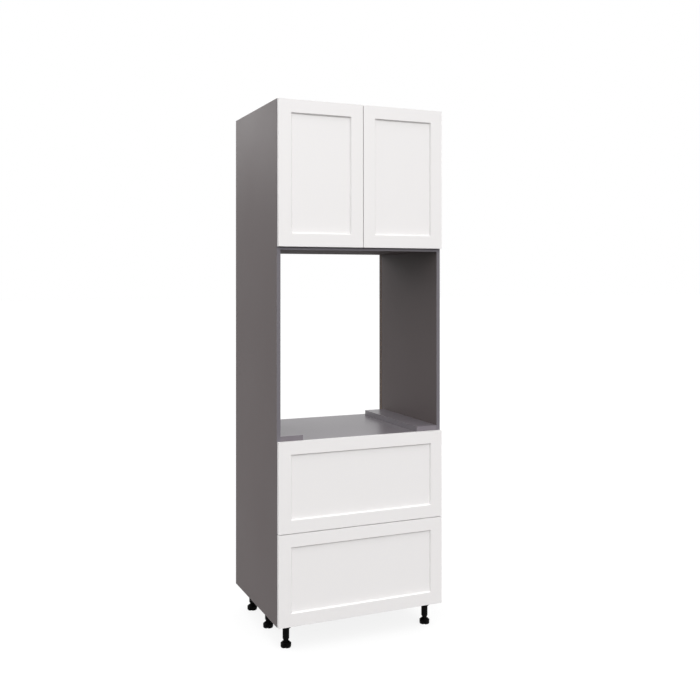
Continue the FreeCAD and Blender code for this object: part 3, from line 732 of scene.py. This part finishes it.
# ---------------------------------------------------------------------- legs
FOOT_STEPS = 144            # faces around the foot
NOTCH_STEP = math.pi / 2    # radians from one grip notch to the next
STEM_PLAY = 0.0012          # between the stem and the ring around it
STEM_WELL = 0.0015          # how far that ring goes down into the foot
CORE_STEPS = 48             # faces around the stem's core
CORE_PLAY = 0.00005         # between the stem's core and the thread's root
THREAD_STEPS = 32           # faces around one turn of the thread
THREADED = 0.85             # share of the stem that is threaded
# Whether a row is on the crest, and its share of the pitch.
THREAD_PROFILE = ((False, 0.0), (True, 0.35), (True, 0.5), (False, 0.85), (False, 1.0))


def notched(vert, radius, leg):
    """Moves a vertex in, where a grip notch cuts into the foot's rim."""
    turn = math.atan2(vert.co.y, vert.co.x) - leg.notch_turn
    turn = (turn + NOTCH_STEP / 2) % NOTCH_STEP - NOTCH_STEP / 2
    inside = leg.notch ** 2 - (radius * math.sin(turn)) ** 2
    if inside > 0:
        reach = radius * math.cos(turn) - math.sqrt(inside)
        flat = Vector((vert.co.x, vert.co.y, 0.0))
        if reach < flat.length:
            vert.co += flat.normalized() * (reach - flat.length)


def add_foot(mesh, radius, leg):
    """The moulded foot, with grip notches in its rim."""
    sole = radius - leg.sole_in
    bmesh.ops.create_circle(mesh, cap_ends=True, radius=sole, segments=FOOT_STEPS)
    top = raise_faces(mesh, list(mesh.faces), leg.low, radius / sole)
    top = raise_faces(mesh, top, leg.rim)
    for vert in mesh.verts:
        notched(vert, radius, leg)
    bmesh.ops.delete(mesh, geom=top, context="FACES_ONLY")
    ledge = [e for e in mesh.edges if e.is_boundary]
    ring = bmesh.ops.create_circle(
        mesh, cap_ends=True, radius=radius, segments=FOOT_STEPS)["verts"]
    bmesh.ops.translate(mesh, vec=(0, 0, leg.low + leg.rim), verts=ring)
    ring = set(ring)
    upper = [e for e in mesh.edges if all(v in ring for v in e.verts)]
    cap = [f for f in mesh.faces if all(v in ring for v in f.verts)]
    bmesh.ops.bridge_loops(mesh, edges=ledge + upper)
    top = raise_faces(mesh, cap, leg.shoulder, leg.neck / radius)
    top = raise_faces(mesh, top, 0.0, (leg.stem + STEM_PLAY) / leg.neck)
    raise_faces(mesh, top, -STEM_WELL)
    bmesh.ops.remove_doubles(mesh, verts=mesh.verts, dist=WELD_GAP)
    bmesh.ops.dissolve_degenerate(mesh, edges=mesh.edges, dist=WELD_GAP)


def add_stem(mesh, low, top, leg):
    """The stem: a wound thread up to most of its height, on a plain core."""
    core = leg.stem - leg.thread
    ends = bmesh.ops.create_cone(
        mesh, cap_ends=True, segments=CORE_STEPS, radius1=core - CORE_PLAY,
        radius2=core - CORE_PLAY, depth=top - low)["verts"]
    bmesh.ops.translate(mesh, vec=(0, 0, (top + low) / 2), verts=ends)
    verts = [mesh.verts.new((leg.stem if crest else core, 0.0, low + up * leg.pitch))
             for crest, up in THREAD_PROFILE]
    edges = [mesh.edges.new(pair) for pair in zip(verts, verts[1:])]
    turns = int((top - low) * THREADED / leg.pitch)
    bmesh.ops.spin(mesh, geom=verts + edges, cent=(0, 0, 0), axis=(0, 0, 1),
                   angle=2 * math.pi * turns, steps=THREAD_STEPS * turns,
                   dvec=(0, 0, leg.pitch / THREAD_STEPS))


class OVEN_OT_legs(bpy.types.Operator):
    """Finish the leg sockets and model the levelling feet"""
    bl_idname = "oven_housing.legs"
    bl_label = "Legs"

    def execute(self, context):
        leg, edge = settings("legs"), settings("edges").plastic
        plastic = black_plastic()
        dress("leg_sockets", plastic, edge)
        low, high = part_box("front_left_foot")
        mesh = bmesh.new()
        add_foot(mesh, (high.x - low.x) / 2, leg)
        add_stem(mesh, leg.low + leg.rim, high.z - low.z, leg)
        moulding = kept_mesh("moulding", mesh)
        for row in ("front", "middle", "back"):
            for side in ("left", "right"):
                node = "%s_%s_foot" % (row, side)
                low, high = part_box(node)
                centre = middle(low, high)
                centre.z = low.z
                mesh = bmesh.new()
                stamp(mesh, moulding, Matrix.Translation(centre))
                foot = add_piece(node + "_moulded", mesh, plastic, node + "_body",
                                 [node])
                round_corners(foot, edge, MOULD_CORNER)
        return {"FINISHED"}


# --------------------------------------------------------------------- stage
BLACK, WHITE = (0.0, 0.0, 0.0, 1.0), (1.0, 1.0, 1.0, 1.0)
FLOOR_REACH = 60.0                      # middle of the floor to its edge
FLOOR_ROUGH = 0.9
FLOOR_SEEN = (0.15, 0.15, 0.15, 1.0)    # colour of the floor to camera and mirrors
AIM = (0.0, 0.0, 1.1)
LAMPS = (  # power setting, place, what it faces, and width and height
    ("front", (3.5, -19.0, 6.6), AIM, (8.0, 5.0)),
    ("high", (0.3, -3.0, 6.5), AIM, (3.0, 3.0)),
    ("left", (-5.5, -4.5, 4.5), AIM, (3.0, 3.0)),
    ("rear", (-1.95, 4.9, 3.7), (-0.38, 0.0, 2.2), (3.0, 1.9)),
)
CAMERA_PLACE = (-1.59142, -3.81374, 1.53414)
CAMERA_TURN = (90, 0, -23.55)
CAMERA_LENS, CAMERA_SENSOR = 46.62, 36.0    # millimetres
CAMERA_SHIFT = -0.1022
CAMERA_REACH = 200.0


def area_light(name, place, target, size, power):
    lamp = bpy.data.lights.new(name, "AREA")
    lamp.shape = "RECTANGLE"
    lamp.size, lamp.size_y = size
    lamp.energy = power
    item = bpy.data.objects.new(name, lamp)
    item.location = place
    direction = Vector(target) - Vector(place)
    item.rotation_euler = direction.to_track_quat("-Z", "Y").to_euler()
    item.visible_camera = False
    bpy.context.scene.collection.objects.link(item)


def seen_or_mirrored(tree):
    """1 for rays from the camera, from mirrors and through glass, else 0."""
    path = tree.nodes.new("ShaderNodeLightPath")
    mirrored = calculate(tree, "MAXIMUM", path.outputs["Is Glossy Ray"],
                         path.outputs["Is Transmission Ray"])
    return calculate(tree, "MAXIMUM", mirrored, path.outputs["Is Camera Ray"])


def add_floor(scene, stage):
    """A white floor that keeps the unit's shadow and throws back little light."""
    mesh = bmesh.new()
    bmesh.ops.create_grid(mesh, x_segments=1, y_segments=1, size=FLOOR_REACH)
    data = kept_mesh("studio_floor", mesh)
    floor = bpy.data.objects.new("studio_floor", data)
    scene.collection.objects.link(floor)
    material = bpy.data.materials.new("studio_floor")
    material.use_nodes = True
    tree = material.node_tree
    shader = tree.nodes["Principled BSDF"]
    shader.inputs["Roughness"].default_value = FLOOR_ROUGH
    shader.inputs["Specular IOR Level"].default_value = 0.0
    shader.inputs["Emission Strength"].default_value = stage.floor_lift
    seen = seen_or_mirrored(tree)
    tone = colour_mix(tree, seen, tint(stage.floor_tone, 1.0), FLOOR_SEEN)
    glow = colour_mix(tree, seen, BLACK, WHITE)
    tree.links.new(tone, shader.inputs["Base Color"])
    tree.links.new(glow, shader.inputs["Emission Color"])
    data.materials.append(material)


def add_room(scene, stage):
    """A room that is lighter overhead, and plain white where it is seen."""
    world = bpy.data.worlds.new("studio")
    scene.world = world
    world.use_nodes = True
    tree = world.node_tree
    back = tree.nodes["Background"]
    back.inputs["Color"].default_value = WHITE
    place = tree.nodes.new("ShaderNodeTexCoord")
    split = tree.nodes.new("ShaderNodeSeparateXYZ")
    tree.links.new(place.outputs["Generated"], split.inputs[0])
    room = tree.nodes.new("ShaderNodeMapRange")
    room.inputs["To Min"].default_value = stage.horizon
    room.inputs["To Max"].default_value = stage.ceiling
    tree.links.new(split.outputs["Z"], room.inputs["Value"])
    level = tree.nodes.new("ShaderNodeMix")
    tree.links.new(seen_or_mirrored(tree), level.inputs["Factor"])
    tree.links.new(room.outputs["Result"], level.inputs["A"])
    level.inputs["B"].default_value = 1.0
    tree.links.new(level.outputs["Result"], back.inputs["Strength"])


def add_camera(scene):
    camera = bpy.data.cameras.new("camera")
    camera.lens = CAMERA_LENS
    camera.sensor_width = CAMERA_SENSOR
    camera.shift_y = CAMERA_SHIFT
    camera.clip_end = CAMERA_REACH
    item = bpy.data.objects.new("camera", camera)
    item.location = CAMERA_PLACE
    item.rotation_euler = [math.radians(turn) for turn in CAMERA_TURN]
    scene.collection.objects.link(item)
    scene.camera = item


class OVEN_OT_stage(bpy.types.Operator):
    """Set the floor, the soft studio light and the camera"""
    bl_idname = "oven_housing.stage"
    bl_label = "Stage"

    def execute(self, context):
        scene, stage = context.scene, settings("stage")
        add_floor(scene, stage)
        add_room(scene, stage)
        for name, place, target, size in LAMPS:
            area_light(name + "_light", place, target, size, getattr(stage, name))
        add_camera(scene)
        scene.view_settings.view_transform = "Standard"
        return {"FINISHED"}


# --------------------------------------------------------------------- panel
OPERATORS = (
    OVEN_OT_carcass,
    OVEN_OT_fronts,
    OVEN_OT_drawers,
    OVEN_OT_hinges,
    OVEN_OT_cam_locks,
    OVEN_OT_screws,
    OVEN_OT_legs,
    OVEN_OT_stage,
)
SETTINGS = (
    ("finish", FinishSettings),
    ("edges", EdgeSettings),
    ("legs", LegSettings),
    ("stage", StageSettings),
)


class OVEN_PT_panel(bpy.types.Panel):
    """Lists the unit's settings and the operators that make its pieces"""
    bl_label = "Oven Housing"
    bl_idname = "OVEN_PT_panel"
    bl_space_type = "VIEW_3D"
    bl_region_type = "UI"
    bl_category = "Oven Housing"

    def draw(self, context):
        layout = self.layout
        for part, kind in SETTINGS:
            box = layout.box()
            for name in kind.__annotations__:
                box.prop(settings(part), name)
        for operator in OPERATORS:
            layout.operator(operator.bl_idname)


CLASSES = tuple(kind for _, kind in SETTINGS) + OPERATORS + (OVEN_PT_panel,)


def register():
    for kind in CLASSES:
        bpy.utils.register_class(kind)
    for part, kind in SETTINGS:
        setattr(bpy.types.Scene, "oven_housing_" + part,
                bpy.props.PointerProperty(type=kind))


def unregister():
    for part, _ in SETTINGS:
        delattr(bpy.types.Scene, "oven_housing_" + part)
    for kind in reversed(CLASSES):
        bpy.utils.unregister_class(kind)


def main():
    register()
    for operator in OPERATORS:
        group, name = operator.bl_idname.split(".")
        getattr(getattr(bpy.ops, group), name)()


if __name__ == "__main__":
    main()
